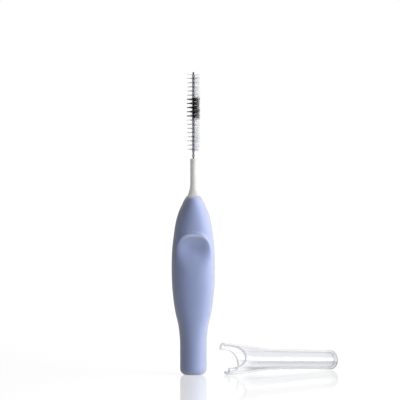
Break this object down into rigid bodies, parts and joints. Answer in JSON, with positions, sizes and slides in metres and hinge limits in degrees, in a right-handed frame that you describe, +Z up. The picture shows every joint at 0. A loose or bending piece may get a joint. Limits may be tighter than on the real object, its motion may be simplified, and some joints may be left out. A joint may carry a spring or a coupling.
{
  "type": "interdental brush",
  "caption": "Upright interdental brush: soft contoured grip, slim neck, twisted wire with a round brush of filaments and a dark band, and a clear lobed cap taken off beside it.",
  "frame": {"origin": "centre of the grip's flat foot, on the brush's axis", "axes": "+Z up along the brush towards the wire's tip, +X to the right seen from the front, +Y away from the viewer; the thumb recesses face -Y and +Y"},
  "size_m": [0.0408, 0.0206, 0.0728],
  "materials": {
    "soft_grip": "soft matte, very fine grain",
    "white_core": "satin moulded",
    "steel_wire": "drawn and twisted",
    "clear_filament": "fine translucent filaments",
    "dark_filament": "fine dark filaments",
    "clear_cap": "clear, polished"
  },
  "bodies": {
    "brush": {"grip_sleeve": "soft_grip", "handle_core": "white_core", "twisted_wire": "steel_wire", "bristles_tip": "clear_filament", "bristles_band": "dark_filament", "bristles_base": "clear_filament"},
    "cap": {"protective_cap": "clear_cap"}
  },
  "joints": [
    {"name": "cap_slide", "type": "slide", "parent": "brush", "child": "cap", "axis": [0.8788, 0.4772, 0], "range_m": [0, 0.0315]}
  ]
}
